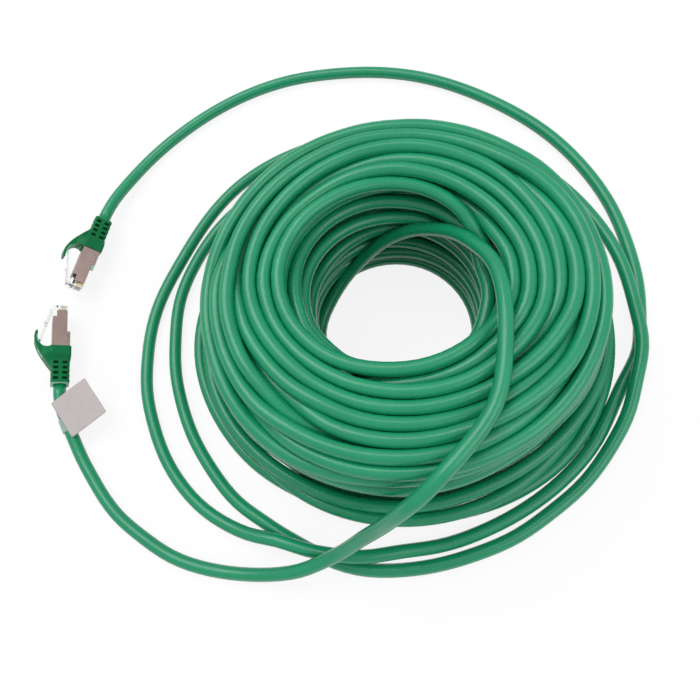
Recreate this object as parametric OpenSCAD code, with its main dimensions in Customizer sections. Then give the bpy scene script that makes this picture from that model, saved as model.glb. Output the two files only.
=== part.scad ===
// Shielded patch cable, hand coiled, with a snagless plug lying on its side at each end.
// Frame: the origin is the middle of the coil on the surface it lies on, +Z up, millimetres.
// The cable runs clockwise seen from above: plug A, lead, two loose loops, coil, lead, plug B.

/* [Cable] */
// Outer diameter of the cable jacket
cable_d = 5.8; // [5.4:0.1:6.2]
// Wall of the jacket
jacket_wall = 0.6; // [0.4:0.1:0.9]
// Clear space between the free cable and what it passes through
cable_clear = 0.15; // [0.1:0.05:0.3]

/* [Coil] */
// Radius of the outermost turn, at the middle of the cable
coil_outer_r = 83; // [76:1:86]
// Radius of the innermost turn, at the middle of the cable
coil_inner_r = 40; // [38:1:48]
// Height of the topmost turns, at the middle of the cable
coil_top_z = 65; // [58:1:68]
// Height of the bottom turns, at the middle of the cable
coil_bottom_z = 3; // [3:0.1:3.4]
// Radius of the coil's rounded outer shoulder, at the middle of the cable
shoulder_r = 18; // [10:1:22]
// Radius of the coil's rounded inner edge, at the middle of the cable
inner_edge_r = 6; // [5:1:10]
// Turns in the outer layer that winds round the core of inner turns
outer_turns = 24; // [20:1:24]
// Gap between the outer layer and the core of inner turns
core_gap = 0.3; // [0.2:0.1:1]

/* [Plug] */
// Length of the plug housing
housing_l = 21.5; // [20:0.5:23]
// Width of the housing inside its shield
housing_w = 11.1; // [11:0.1:11.4]
// Height of the housing's front inside its shield
housing_h = 6; // [5.9:0.1:6.2]
// Extra depth of the housing's rear on the contact side
rear_step = 1.4; // [1:0.1:1.6]
// Length of that deeper rear part
rear_step_l = 8; // [6:0.5:9]
// Distance from the cable's middle up to the housing's latch side
housing_top = 3.75; // [3.6:0.05:3.9]
// Length of the bare clear nose in front of the shield
nose_l = 2.5; // [2:0.1:3]
// Thickness of the stamped shield
shield_t = 0.3; // [0.2:0.05:0.3]
// Length of the locking window in each side of the shield
window_l = 3; // [2:0.1:4]
// Height of the locking window
window_h = 1.2; // [0.8:0.1:1.4]
// Length of the notch in the shield's front corners, beside the latch
notch_l = 3; // [2:0.1:4]
// Height of that notch
notch_h = 1.5; // [1:0.1:2]
// Width of the shield's opening over the contacts
contact_open_w = 9.4; // [9:0.1:9.8]
// Distance from one contact to the next
contact_pitch = 1.02; // [1:0.01:1.04]
// Thickness of a contact blade
contact_t = 0.35; // [0.3:0.05:0.4]
// Length of a contact blade
contact_l = 5.2; // [4.6:0.2:5.4]
// Height of a contact blade
contact_h = 2.6; // [2.4:0.1:2.7]
// Depth of the contacts below the face of the nose
contact_recess = 0.45; // [0.35:0.05:0.6]
// Diameter of an insulated conductor
conductor_d = 0.9; // [0.8:0.02:0.94]
// Length of the load bar that holds the conductors in order
load_bar_l = 4.2; // [3:0.2:5]
// Thickness of the load bar under the conductors
load_bar_t = 1; // [0.6:0.1:1.2]

/* [Crimp] */
// Inner radius of the shield's crimp ring
crimp_r = 3.35; // [3.32:0.01:3.4]
// Length of the crimp ring
crimp_l = 6.5; // [5:0.5:7]
// Width of the strap between the crimp ring and the shield
strap_w = 3.2; // [2.6:0.1:4]
// How far the strap reaches over the crimp ring
strap_lap = 2; // [1.5:0.1:3]
// Diameter of the drain wire
drain_d = 0.35; // [0.3:0.01:0.36]

/* [Latch] */
// Length of the latch from its root at the nose to its free end
latch_l = 15.3; // [14:0.1:15.6]
// Height of the latch's free end above its root
latch_rise = 4.75; // [4.4:0.05:4.8]
// Thickness of the latch
latch_t = 0.95; // [0.8:0.05:1]
// Width of the latch near the nose
latch_w = 6; // [5.6:0.1:6.2]
// Width of the latch's narrow tail
latch_tail_w = 3.3; // [3:0.1:4]
// Length of the narrow tail
latch_tail_l = 8.6; // [7:0.2:9]
// Radius of the rounded root of the latch
latch_root_r = 0.5; // [0.4:0.05:0.55]

/* [Boot] */
// Length of the boot from the plug end to the cable end
boot_l = 18; // [17:0.5:20]
// Length of the slotted strain relief
relief_l = 11.5; // [11:0.5:12]
// Height of the strain relief, from the latch side to the contact side
relief_h = 8.4; // [8.2:0.1:8.8]
// Width of the strain relief, across the contacts
relief_w = 9.2; // [8.6:0.1:10]
// Radius of the strain relief's rounded edges
relief_edge = 1.6; // [0.8:0.1:2]
// Width of the boot's head, across the contacts
boot_w = 13.4; // [13.2:0.1:14]
// Height of the boot's head, from the latch side to the contact side
boot_h = 9.2; // [9.1:0.1:9.8]
// How far the boot's head reaches over the plug
boot_over = 1; // [0.6:0.1:1.5]
// Distance from one row of slots to the next
slot_pitch = 2.6; // [2.3:0.1:2.7]
// Length of a slot along the cable
slot_l = 1.1; // [0.8:0.1:1.3]
// Height of a slot
slot_h = 2.2; // [1.8:0.1:2.4]
// Depth of a slot
slot_depth = 1; // [0.6:0.1:1]

/* [Latch cover] */
// Distance of the cover's hinge line from the cable end of the boot
cover_hinge_x = 9.6; // [9:0.1:10]
// Radius of the rounded root of the cover
cover_root_r = 0.6; // [0.5:0.05:0.7]
// Width of the latch cover
cover_w = 8; // [7:0.2:9]
// Thickness of the cover's side fins
cover_fin_t = 1; // [0.8:0.1:1.4]
// Thickness of the cover's curved back
cover_back_t = 1.1; // [0.9:0.1:1.2]

/* [Label] */
// Length of the label's flag along its longer side
label_l = 19.5; // [16:0.5:24]
// Width of the label's flag
label_w = 20; // [15:0.5:22]
// Thickness of the folded label
label_t = 0.4; // [0.3:0.05:0.6]
// Length of the clear film sleeve that holds the flag on the cable
film_l = 8; // [5:1:9]

/* [Hidden] */

$fn = 48;
eps = 0.01;
running_gap = 0.1;     // clear space round fitted parts
cable_r = cable_d / 2;

// Plug frame: x towards the nose, z towards the latch, the cable's middle at y = z = 0,
// and x = 0 at the cable end of the strain relief. The stiff cable holds each plug twisted: it
// rests on one long edge of its boot, between its side and its back.
function resting_z(roll) = boot_w / 2 * abs(sin(roll)) + boot_h / 2 * abs(cos(roll));
plug_a_turn = -104.5;
plug_a_roll = 53;      // the latch lies to the right of the plug's heading, tipped up
plug_a_at = [-149, 61.6, resting_z(plug_a_roll)];
plug_b_turn = 97;
plug_b_roll = -60;     // the latch lies to the left of the plug's heading, tipped up
plug_b_at = [-159.5, -25.4, resting_z(plug_b_roll)];

housing_x = boot_l - boot_over;
nose_x = housing_x + housing_l;
shield_x = nose_x - nose_l;
step_x = housing_x + rear_step_l;
housing_low = housing_top - housing_h;
rear_low = housing_low - rear_step;

contact_count = 8;
contact_x = shield_x - 4;
contact_z = housing_low - shield_t + contact_recess;
conductor_z = contact_z + contact_h + running_gap + conductor_d / 2;
channel_h = conductor_d + 2 * running_gap;
channel_w = (contact_count - 1) * contact_pitch + conductor_d + 2 * running_gap;
conductor_x = housing_x + 4.5;
conductor_l = contact_x + contact_l - conductor_x;
cavity_w = 9.4;
cavity_top = 2.9;
cavity_low = conductor_z - channel_h / 2 - load_bar_t - running_gap;
core_low = -(cable_r - jacket_wall + running_gap);
load_bar_x = contact_x - 0.9 - load_bar_l;
cavity_end = load_bar_x + load_bar_l + running_gap;

jacket_end_x = housing_x - 4;
foil_end_x = conductor_x - 1.5;
crimp_t = 0.25;
crimp_x = jacket_end_x + 1.5 - crimp_l;
crimp_pocket_r = crimp_r + crimp_t + running_gap;

latch_x = nose_x - 1;
latch_z = housing_top + shield_t + running_gap + latch_root_r;
cover_z = relief_h / 2 + running_gap + cover_root_r;

// The coil's section, followed from the bottom of the outer wall to the bottom of the inner wall
rings_per_turn = 24;
turn_step = 360 / rings_per_turn;
coil_start = 60;       // azimuth where the outer layer begins
coil_end = 195;        // azimuth where the outer layer ends
coil_sweep = outer_turns * 360 + coil_start - coil_end;
coil_rings = floor(coil_sweep / turn_step);
wall_out = coil_top_z - shoulder_r - coil_bottom_z;
arc_out = PI / 2 * shoulder_r;
flat_top = coil_outer_r - shoulder_r - coil_inner_r - inner_edge_r;
arc_in = PI / 2 * inner_edge_r;
wall_in = coil_top_z - inner_edge_r - coil_bottom_z;
section_l = wall_out + arc_out + flat_top + arc_in + wall_in;
chord_sag = coil_outer_r * (1 - cos(turn_step / 2));
core_inset = cable_r + core_gap + chord_sag;

// Radius and height of the section's line at distance s along it
function section_at(s) =
    s < wall_out ? [coil_outer_r, coil_bottom_z + s]
    : s < wall_out + arc_out ?
        let (t = (s - wall_out) / shoulder_r * 180 / PI)
        [coil_outer_r - shoulder_r + shoulder_r * cos(t),
         coil_top_z - shoulder_r + shoulder_r * sin(t)]
    : s < wall_out + arc_out + flat_top ?
        [coil_outer_r - shoulder_r - (s - wall_out - arc_out), coil_top_z]
    : s < section_l - wall_in ?
        let (t = (s - wall_out - arc_out - flat_top) / inner_edge_r * 180 / PI)
        [coil_inner_r + inner_edge_r - inner_edge_r * sin(t),
         coil_top_z - inner_edge_r + inner_edge_r * cos(t)]
    : [coil_inner_r, coil_bottom_z + section_l - s];

function on_circle(r, azimuth, z) = [r * cos(azimuth), r * sin(azimuth), z];
function clockwise(azimuth) = [sin(azimuth), -cos(azimuth), 0];

coil_rise = section_l / coil_rings;
coil_helix = [for (i = [0:coil_rings])
    let (at = section_at(min(i * coil_rise, section_l - eps)))
    on_circle(at[0], coil_start - i * turn_step, at[1])];
coil_first = coil_helix[0] - cable_d * clockwise(coil_start);
coil_last = coil_helix[coil_rings] + cable_d * clockwise(coil_end);
coil_route = concat([coil_first], coil_helix, [coil_last]);

// The least clear space between one turn of the outer layer and any other turn
turn_gap = min([for (i = [0:coil_rings], k = [1:outer_turns], m = [-1:1])
    let (j = i + k * rings_per_turn + m)
    if (j <= coil_rings) norm(coil_helix[j] - coil_helix[i]) - cable_d]);
echo(least_gap_between_turns = turn_gap);

// The way each lead runs as it leaves its boot
function heading(turn) = [cos(turn), sin(turn), 0];
lead_a_dir = -heading(plug_a_turn);
lead_b_dir = -heading(plug_b_turn);

// The lead from plug A to where the cable goes under its own second loop
lead_a_points = [
    [-145.9, 71.4, 7.3], [-140.2, 83.6, 5.3], [-130, 99.5, 3.2], [-110, 119, 3], [-93, 131, 3],
    [-75, 140, 3], [-55.5, 146, 3], [-33, 148.5, 3], [-7, 147.5, 3], [17, 142, 3],
    [40, 131.5, 3], [60.5, 118, 3], [78, 102, 3], [92.5, 82, 3], [102, 62, 3],
    [107.5, 40, 3], [109.5, 17.5, 3]];
lead_a_end = [108, 0, 3];
lead_a_end_dir = [-0.1, -1, 0];

// The two loose loops round the coil, ending behind it at the start of the outer layer
loop_points = [
    [106, -11, 3], [98.5, -25, 3], [84, -51, 3], [67.5, -69, 3], [50, -81.5, 3],
    [33, -90, 3], [16.5, -95.5, 3.2], [-2, -98.5, 6], [-15, -100.5, 8.4],
    [-27, -100, 9.3], [-39.5, -98, 9.3], [-52, -94.5, 9], [-63, -92.5, 6.5],
    [-72, -89.5, 4.2], [-85, -82.5, 3], [-98, -70.5, 3], [-107, -57.5, 3],
    [-113.5, -43, 3], [-118, -28, 3], [-119.5, -12, 3], [-119, 3.5, 3],
    [-115.5, 20, 3], [-108.5, 37, 3], [-98.5, 57, 3], [-82, 79.5, 3],
    [-59, 96, 3], [-34, 105, 3], [-8, 108.5, 3], [18, 107, 3], [43, 99.5, 3],
    [65, 87, 3.6], [82, 69.5, 5.4], [94.5, 48.5, 7.6], [101.5, 29, 9.2],
    [105, 6, 9.4], [105.5, -11, 9.4], [101.5, -26, 9], [97, -40, 7.4],
    [90.5, -52, 5.2], [77.5, -69, 3], [62.5, -81.5, 3], [47.5, -91.5, 3],
    [32.5, -98, 3], [16, -103, 3], [0, -105.5, 3], [-19.5, -105, 3],
    [-30, -102, 3], [-41.5, -96.5, 3], [-52, -91, 3], [-61, -85.5, 3],
    [-70, -79.5, 3], [-83.5, -65, 3], [-94, -49, 3], [-101, -32.5, 3],
    [-105, -17.5, 3], [-106.5, -2, 3], [-106, 18, 3], [-100, 37.5, 3],
    [-89, 57, 3], [-75, 72, 3], [-57, 84, 3], [-36, 90.5, 3], [-14, 92, 3], [8, 88.5, 3]];

// The lead from plug B, under the label, over both loops and the coil, and down inside it
lead_b_points = [
    [-158.3, -33.7, 7.3], [-154.5, -43, 5.6], [-150.5, -51, 4.2], [-146.5, -58.5, 3.2],
    [-140, -68, 3],
    [-126, -84.5, 3], [-113, -94, 3], [-101, -101, 3], [-86, -106, 3],
    [-73, -108, 3.6], [-63, -108.5, 5.2], [-51, -108, 8.6], [-40, -106, 12.6],
    [-31, -102.5, 16.4], [-22.5, -98.5, 23], [-14.5, -94, 33], [-8, -90.8, 42.5],
    [-3.1, -88.2, 53], [3.5, -84, 63.5], [8.5, -80, 67.5], [14.5, -74, 70.5],
    [24.5, -63, 71.8], [32.5, -51, 72], [37, -32, 72], [38, -19, 71.8],
    [38, -8.5, 70], [35.5, 5, 66], [30, 15.5, 59.5], [24.5, 23, 53.5],
    [18.5, 28, 48], [8.5, 32.5, 40.5], [-6, 33, 28.5], [-14, 30.5, 20],
    [-22, 25.5, 12.5], [-27.5, 19.5, 8.6], [-32.5, 12, 5.4], [-36.5, 2.5, 3.2]];

// The sleeve of the label sits on the straight stretch between the lead's second and third points
label_at = (lead_b_points[1] + lead_b_points[2]) / 2;
label_way = way(lead_b_points[1], lead_b_points[2]);
label_turn = atan2(label_way[1], label_way[0]);
label_dip = -asin(label_way[2]);
label_tilt = 7;        // the flag's far side stands this much higher, in degrees
flag_skew = 9.8;       // the flag's turn away from the cable, in degrees
flag_at = [-7.5, 9.7];   // middle of the flag, along and across the sleeve

// Way from one point to the next, and at each ring of a tube
function way(a, b) = (b - a) / norm(b - a);
function along(p, i, first, last) =
    i == 0 ? first
    : i == len(p) - 1 ? last
    : way([0, 0, 0], way(p[i - 1], p[i]) + way(p[i], p[i + 1]));

// A tube of round section swept along points, its ends square to the ways given
module tube(p, d, sides, first, last) {
    rings = len(p);
    verts = [for (i = [0:rings - 1])
        let (
            t = way([0, 0, 0], along(p, i, first, last)),
            s = way([0, 0, 0], cross(t, [0, 0, 1])),
            n = cross(s, t)
        )
        for (k = [0:sides - 1])
            let (a = (k + 0.5) * 360 / sides)
            p[i] + d / 2 * (cos(a) * s + sin(a) * n)];
    walls = [for (i = [0:rings - 2], k = [0:sides - 1])
        let (a = i * sides + k, b = i * sides + (k + 1) % sides)
        each [[a, b + sides, b], [a, a + sides, b + sides]]];
    caps = [for (k = [1:sides - 2])
        each [[0, k, k + 1],
              [(rings - 1) * sides, (rings - 1) * sides + k + 1, (rings - 1) * sides + k]]];
    polyhedron(points = verts, faces = concat(walls, caps));
}

module place_plug(at, turn, roll) {
    translate(at) rotate([0, 0, turn]) rotate([roll, 0, 0]) children();
}

module place_a() {
    place_plug(plug_a_at, plug_a_turn, plug_a_roll) children();
}

module place_b() {
    place_plug(plug_b_at, plug_b_turn, plug_b_roll) children();
}

// A box given by its lowest and highest corners
module block(low, high) {
    translate(low) cube(high - low);
}

// A side outline, in x and z, made w wide about y = 0
module side_plate(outline, w) {
    rotate([90, 0, 0]) translate([0, 0, -w / 2]) linear_extrude(w) polygon(outline);
}

// ---- The cable ----

module lead_a() {
    route = concat([plug_a_at], lead_a_points, [lead_a_end]);
    color("seagreen") tube(route, cable_d, 8, lead_a_dir, lead_a_end_dir);
}

module loose_loops() {
    route = concat([lead_a_end], loop_points, [coil_first]);
    color("mediumseagreen") tube(route, cable_d, 6, lead_a_end_dir, clockwise(coil_start));
}

module coil_outer_turns() {
    color("seagreen")
        tube(coil_route, cable_d, 6, clockwise(coil_start), clockwise(coil_end));
}

// All the turns below the outer layer, as one ring of their outer shape
module coil_inner_turns() {
    r_out = coil_outer_r - core_inset;
    r_in = coil_inner_r + core_inset;
    top = coil_top_z - core_inset;
    r_shoulder = max(shoulder_r - core_inset, 1);
    r_edge = max(inner_edge_r - core_inset, 1);
    steps = 2;
    shoulder = [for (i = [0:steps])
        let (t = 90 * i / steps)
        [r_out - r_shoulder + r_shoulder * cos(t), top - r_shoulder + r_shoulder * sin(t)]];
    edge = [for (i = [0:steps])
        let (t = 90 * i / steps)
        [r_in + r_edge - r_edge * sin(t), top - r_edge + r_edge * cos(t)]];
    color("darkgreen")
        rotate_extrude($fn = 96)
            polygon(concat([[r_out, 0]], shoulder, edge, [[r_in, 0]]));
}

module lead_b() {
    route = concat([plug_b_at], lead_b_points, [coil_last]);
    color("seagreen") tube(route, cable_d, 8, lead_b_dir, -clockwise(coil_end));
}

// A film sleeve goes round the cable, and the flag lies on it, its far side a little higher
module label_flag() {
    film_in = cable_r + 2 * cable_clear;
    film_out = film_in + label_t;
    color("whitesmoke") translate(label_at) rotate([label_tilt, label_dip, label_turn]) {
        rotate([0, 90, 0]) difference() {
            cylinder(r = film_out, h = film_l, center = true);
            cylinder(r = film_in, h = film_l + 1, center = true);
        }
        translate([flag_at[0], flag_at[1], film_out]) rotate([0, 0, flag_skew])
            cube([label_l, label_w, label_t], center = true);
    }
}

// ---- The plugs, each in its own frame ----

module housing_outline(grow) {
    block([housing_x, -housing_w / 2 - grow, housing_low - grow],
          [shield_x, housing_w / 2 + grow, housing_top + grow]);
    block([housing_x, -housing_w / 2 - grow, rear_low - grow],
          [step_x + grow, housing_w / 2 + grow, housing_top + grow]);
}

module contact_places() {
    for (i = [0:contact_count - 1])
        translate([0, (i - (contact_count - 1) / 2) * contact_pitch, 0]) children();
}

module plug_housing() {
    slot_w = contact_t + 2 * running_gap;
    land = housing_top + shield_t;
    color([0.85, 0.92, 0.93, 0.6]) difference() {
        union() {
            housing_outline(0);
            block([shield_x, -housing_w / 2 - shield_t, housing_low - shield_t],
                  [nose_x, housing_w / 2 + shield_t, land]);
        }
        block([housing_x - 1, -cavity_w / 2, core_low],
              [step_x - rear_step, cavity_w / 2, cavity_top]);
        block([foil_end_x, -cavity_w / 2, cavity_low], [cavity_end, cavity_w / 2, cavity_top]);
        block([cavity_end - 1, -channel_w / 2, conductor_z - channel_h / 2],
              [contact_x + contact_l + running_gap, channel_w / 2, conductor_z + channel_h / 2]);
        contact_places()
            block([contact_x - running_gap, -slot_w / 2, housing_low - shield_t - 1],
                  [contact_x + contact_l + running_gap, slot_w / 2, conductor_z]);
    }
}

module plug_contacts() {
    color("gold") contact_places()
        block([contact_x, -contact_t / 2, contact_z],
              [contact_x + contact_l, contact_t / 2, contact_z + contact_h]);
}

module plug_conductors() {
    tints = ["orange", "gold", "palegreen", "royalblue", "skyblue", "green", "wheat", "sienna"];
    for (i = [0:contact_count - 1])
        color(tints[i])
            translate([conductor_x, (i - (contact_count - 1) / 2) * contact_pitch, conductor_z])
                rotate([0, 90, 0]) cylinder(d = conductor_d, h = conductor_l, $fn = 12);
}

module plug_load_bar() {
    color("lightsteelblue") difference() {
        block([load_bar_x, -cavity_w / 2 + running_gap, cavity_low + running_gap],
              [load_bar_x + load_bar_l, cavity_w / 2 - running_gap,
               cavity_top - running_gap]);
        block([load_bar_x - 1, -channel_w / 2, conductor_z - channel_h / 2],
              [load_bar_x + load_bar_l + 1, channel_w / 2, conductor_z + channel_h / 2]);
    }
}

module plug_foil_core() {
    color("silver") translate([crimp_x, 0, 0]) rotate([0, 90, 0])
        cylinder(r = cable_r - jacket_wall - running_gap / 2, h = foil_end_x - crimp_x);
}

module plug_jacket_end() {
    color("seagreen") rotate([0, 90, 0]) difference() {
        cylinder(r = cable_r, h = jacket_end_x);
        translate([0, 0, -1]) cylinder(r = cable_r - jacket_wall, h = jacket_end_x + 2);
    }
}

// The bare drain wire, folded back over the end of the jacket and held under the crimp ring
module plug_drain_wire() {
    fold_x = jacket_end_x + drain_d;
    lay_z = -(cable_r + drain_d / 2 + 0.02);
    color("silver") {
        translate([crimp_x, 0, lay_z]) rotate([0, 90, 0])
            cylinder(d = drain_d, h = fold_x - crimp_x, $fn = 12);
        translate([fold_x, 0, lay_z])
            cylinder(d = drain_d, h = jacket_wall + drain_d / 2, $fn = 12);
    }
}

module plug_shield() {
    window_x = step_x - window_l / 2;
    window_low = rear_low + window_h / 2;
    strap_x = crimp_x + crimp_l - strap_lap;
    strap_low = rear_low - shield_t;
    color("rosybrown") {
        difference() {
            housing_outline(shield_t);
            housing_outline(0);
            block([housing_x - 1, -housing_w / 2, rear_low],
                  [housing_x + 1, housing_w / 2, housing_top]);
            block([shield_x - eps, -housing_w, rear_low - 1],
                  [shield_x + 1, housing_w, housing_top + 1]);
            // open over the contacts and under the root of the latch
            block([contact_x - 1, -contact_open_w / 2, housing_low - 1],
                  [shield_x + 1, contact_open_w / 2, housing_low + eps]);
            block([shield_x - notch_l, -housing_w, housing_top - notch_h],
                  [shield_x + 1, housing_w, housing_top + 1]);
            // locking windows in both sides
            block([window_x - window_l, -housing_w, window_low],
                  [window_x, housing_w, window_low + window_h]);
        }
        // crimp ring round the cable, and the strap that joins it to the shell
        translate([crimp_x, 0, 0]) rotate([0, 90, 0]) difference() {
            cylinder(r = crimp_r + crimp_t, h = crimp_l);
            translate([0, 0, -1]) cylinder(r = crimp_r, h = crimp_l + 2);
        }
        block([strap_x, -strap_w / 2, strap_low],
              [housing_x + eps, strap_w / 2, strap_low + shield_t]);
        block([strap_x, -strap_w / 2, strap_low],
              [crimp_x + crimp_l, strap_w / 2, -crimp_r - crimp_t / 2]);
    }
}

// The latch leans back from its rounded root at the nose, wide first and then narrow
module plug_latch() {
    lean = atan(latch_rise / latch_l);
    catch_h = 0.6;
    color([0.85, 0.92, 0.93, 0.6])
        translate([latch_x, 0, latch_z]) rotate([0, lean, 0]) {
            length = latch_l / cos(lean);
            wide_x = latch_tail_l - length;
            block([wide_x, -latch_w / 2, -latch_t / 2], [0, latch_w / 2, latch_t / 2]);
            block([-length, -latch_tail_w / 2, -latch_t / 2],
                  [wide_x + 1, latch_tail_w / 2, latch_t / 2]);
            block([wide_x, -latch_w / 2, -latch_t / 2],
                  [wide_x + 1, latch_w / 2, latch_t / 2 + catch_h]);
            rotate([90, 0, 0]) cylinder(r = latch_root_r, h = latch_w, center = true, $fn = 24);
        }
}

// A bar along x with rounded long edges
module rounded_bar(l, w, h, r) {
    block([0, -w / 2 + r, -h / 2], [l, w / 2 - r, h / 2]);
    block([0, -w / 2, -h / 2 + r], [l, w / 2, h / 2 - r]);
    for (y = [-1, 1], z = [-1, 1])
        translate([0, y * (w / 2 - r), z * (h / 2 - r)]) rotate([0, 90, 0]) cylinder(r = r, h = l);
}

module plug_boot() {
    head_x = relief_l;
    flare_l = 3;
    slot_rows = 4;
    slot_x = 2.4;
    slot_z = 2;
    fit = shield_t + running_gap;
    side = [[head_x - 0.5, -relief_h / 2], [head_x + 0.5, -boot_h / 2], [boot_l, -boot_h / 2],
            [boot_l, boot_h / 2], [head_x + 0.5, boot_h / 2], [head_x - 0.5, relief_h / 2]];
    plan = [[head_x - 0.5, -relief_w / 2], [head_x + flare_l, -boot_w / 2],
            [boot_l, -boot_w / 2], [boot_l, boot_w / 2], [head_x + flare_l, boot_w / 2],
            [head_x - 0.5, relief_w / 2]];
    color("green") difference() {
        union() {
            rounded_bar(head_x, relief_w, relief_h, relief_edge);
            intersection() {
                side_plate(side, boot_w + 2);
                translate([0, 0, -boot_h]) linear_extrude(2 * boot_h) polygon(plan);
            }
        }
        translate([-1, 0, 0]) rotate([0, 90, 0])
            cylinder(r = cable_r + cable_clear, h = crimp_x + 2);
        translate([crimp_x - running_gap, 0, 0]) rotate([0, 90, 0])
            cylinder(r = crimp_pocket_r, h = housing_x - crimp_x + 2 * running_gap);
        block([crimp_x + crimp_l - strap_lap - running_gap, -strap_w / 2 - running_gap,
               rear_low - fit],
              [housing_x + eps, strap_w / 2 + running_gap, 0]);
        block([housing_x - running_gap, -housing_w / 2 - fit, rear_low - fit],
              [boot_l + 1, housing_w / 2 + fit, housing_top + fit]);
        for (row = [0:slot_rows - 1], z = [-1, 1], y = [-1, 1])
            translate([slot_x + row * slot_pitch, y * relief_w / 2, z * slot_z])
                cube([slot_l, 2 * slot_depth, slot_h], center = true);
    }
}

// The curved cover that keeps the latch from snagging, with a fin at each side
module plug_latch_cover() {
    back = [[-0.4, 0.3], [3, 2.6], [7, 5.2], [10.6, 6.5], [13.9, 7], [16.6, 6.7]];
    under_back = [for (i = [len(back) - 1:-1:1]) back[i] + [0.1, -cover_back_t]];
    fin_front = [[12.4, 5.5], [9.9, 4.3], [8.3, 2.6], [8, 1.6]];
    root = [[0.5, -0.1]];
    fin = concat(back, [under_back[0]], fin_front, root);
    plate = concat(back, under_back, root);
    color("green") translate([cover_hinge_x, 0, cover_z]) {
        for (y = [-1, 1])
            translate([0, y * (cover_w - cover_fin_t) / 2, 0]) side_plate(fin, cover_fin_t);
        side_plate(plate, cover_w);
        rotate([90, 0, 0]) cylinder(r = cover_root_r, h = cover_w, center = true, $fn = 24);
    }
}

// ---- Nodes ----

lead_a();
loose_loops();
coil_outer_turns();
coil_inner_turns();
lead_b();
label_flag();
place_a() plug_housing();  // plug_a_housing
place_a() plug_latch();  // plug_a_latch
place_a() plug_shield();  // plug_a_shield
place_a() plug_contacts();  // plug_a_contacts
place_a() plug_load_bar();  // plug_a_load_bar
place_a() plug_conductors();  // plug_a_conductors
place_a() plug_foil_core();  // plug_a_foil_core
place_a() plug_jacket_end();  // plug_a_jacket_end
place_a() plug_drain_wire();  // plug_a_drain_wire
place_a() plug_boot();  // plug_a_boot
place_a() plug_latch_cover();  // plug_a_latch_cover
place_b() plug_housing();  // plug_b_housing
place_b() plug_latch();  // plug_b_latch
place_b() plug_shield();  // plug_b_shield
place_b() plug_contacts();  // plug_b_contacts
place_b() plug_load_bar();  // plug_b_load_bar
place_b() plug_conductors();  // plug_b_conductors
place_b() plug_foil_core();  // plug_b_foil_core
place_b() plug_jacket_end();  // plug_b_jacket_end
place_b() plug_drain_wire();  // plug_b_drain_wire
place_b() plug_boot();  // plug_b_boot
place_b() plug_latch_cover();  // plug_b_latch_cover
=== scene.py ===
"""A green shielded patch cable, hand coiled, with a snagless plug at each end."""
import math

import bmesh
import bpy
import numpy as np
from mathutils import Matrix, Vector


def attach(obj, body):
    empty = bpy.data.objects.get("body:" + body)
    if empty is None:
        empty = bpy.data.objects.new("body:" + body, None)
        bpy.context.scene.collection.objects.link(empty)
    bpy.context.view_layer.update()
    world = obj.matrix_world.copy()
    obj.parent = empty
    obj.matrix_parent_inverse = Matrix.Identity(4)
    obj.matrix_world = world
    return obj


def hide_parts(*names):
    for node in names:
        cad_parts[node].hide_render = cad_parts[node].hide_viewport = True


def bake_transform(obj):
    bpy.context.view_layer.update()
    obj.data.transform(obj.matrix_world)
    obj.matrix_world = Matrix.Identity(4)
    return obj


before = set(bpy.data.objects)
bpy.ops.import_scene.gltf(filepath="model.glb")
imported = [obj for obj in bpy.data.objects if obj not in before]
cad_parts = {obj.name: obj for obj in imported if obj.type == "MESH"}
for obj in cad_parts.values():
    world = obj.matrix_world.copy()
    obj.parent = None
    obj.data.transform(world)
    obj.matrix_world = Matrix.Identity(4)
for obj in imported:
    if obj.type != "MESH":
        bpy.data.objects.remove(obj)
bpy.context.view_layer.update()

MM = 0.001
CABLE_D = 5.8
CABLE_R = CABLE_D / 2


# ---- Camera ----

SENSOR = 36.0
IMAGE_W = 700
FOCAL_PX = 650.0
CENTRE_PX = 325.0                     # the lens axis is left of the frame's middle
CAMERA_AT = np.array([0.2, -101.6, 290.7]) * MM
VIEW_WAY = np.array([-0.1114, 0.3059, -0.9455])
RIGHT_WAY = np.array([0.9936, 0.0175, -0.1114])


def unit(v):
    v = np.asarray(v, float)
    return v / np.linalg.norm(v)


def make_camera():
    data = bpy.data.cameras.new("camera")
    data.sensor_width = SENSOR
    data.lens = FOCAL_PX / IMAGE_W * SENSOR
    data.shift_x = (IMAGE_W / 2 - CENTRE_PX) / IMAGE_W
    data.clip_start = 0.01
    cam = bpy.data.objects.new("camera", data)
    bpy.context.scene.collection.objects.link(cam)
    f = unit(VIEW_WAY)
    x = unit(RIGHT_WAY - f * (RIGHT_WAY @ f))
    y = np.cross(x, f)
    m = Matrix.Identity(4)
    for i, axis in enumerate((x, y, -f)):
        for k in range(3):
            m[k][i] = axis[k]
    for k in range(3):
        m[k][3] = CAMERA_AT[k]
    cam.matrix_world = m
    bpy.context.scene.camera = cam


make_camera()


# ---- The cable's route, in millimetres: plug A, lead, two loops, coil, lead, plug B ----

BOOT_HALF_W, BOOT_HALF_H = 6.7, 4.6


def resting_z(roll):
    """Height of a plug's middle when it rests on the edge of its boot."""
    return (BOOT_HALF_W * abs(math.sin(math.radians(roll)))
            + BOOT_HALF_H * abs(math.cos(math.radians(roll))))


PLUG_A_TURN, PLUG_A_ROLL = -104.5, 53
PLUG_B_TURN, PLUG_B_ROLL = 97, -60
PLUG_A_AT = (-149, 61.6, resting_z(PLUG_A_ROLL))
PLUG_B_AT = (-159.5, -25.4, resting_z(PLUG_B_ROLL))

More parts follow.
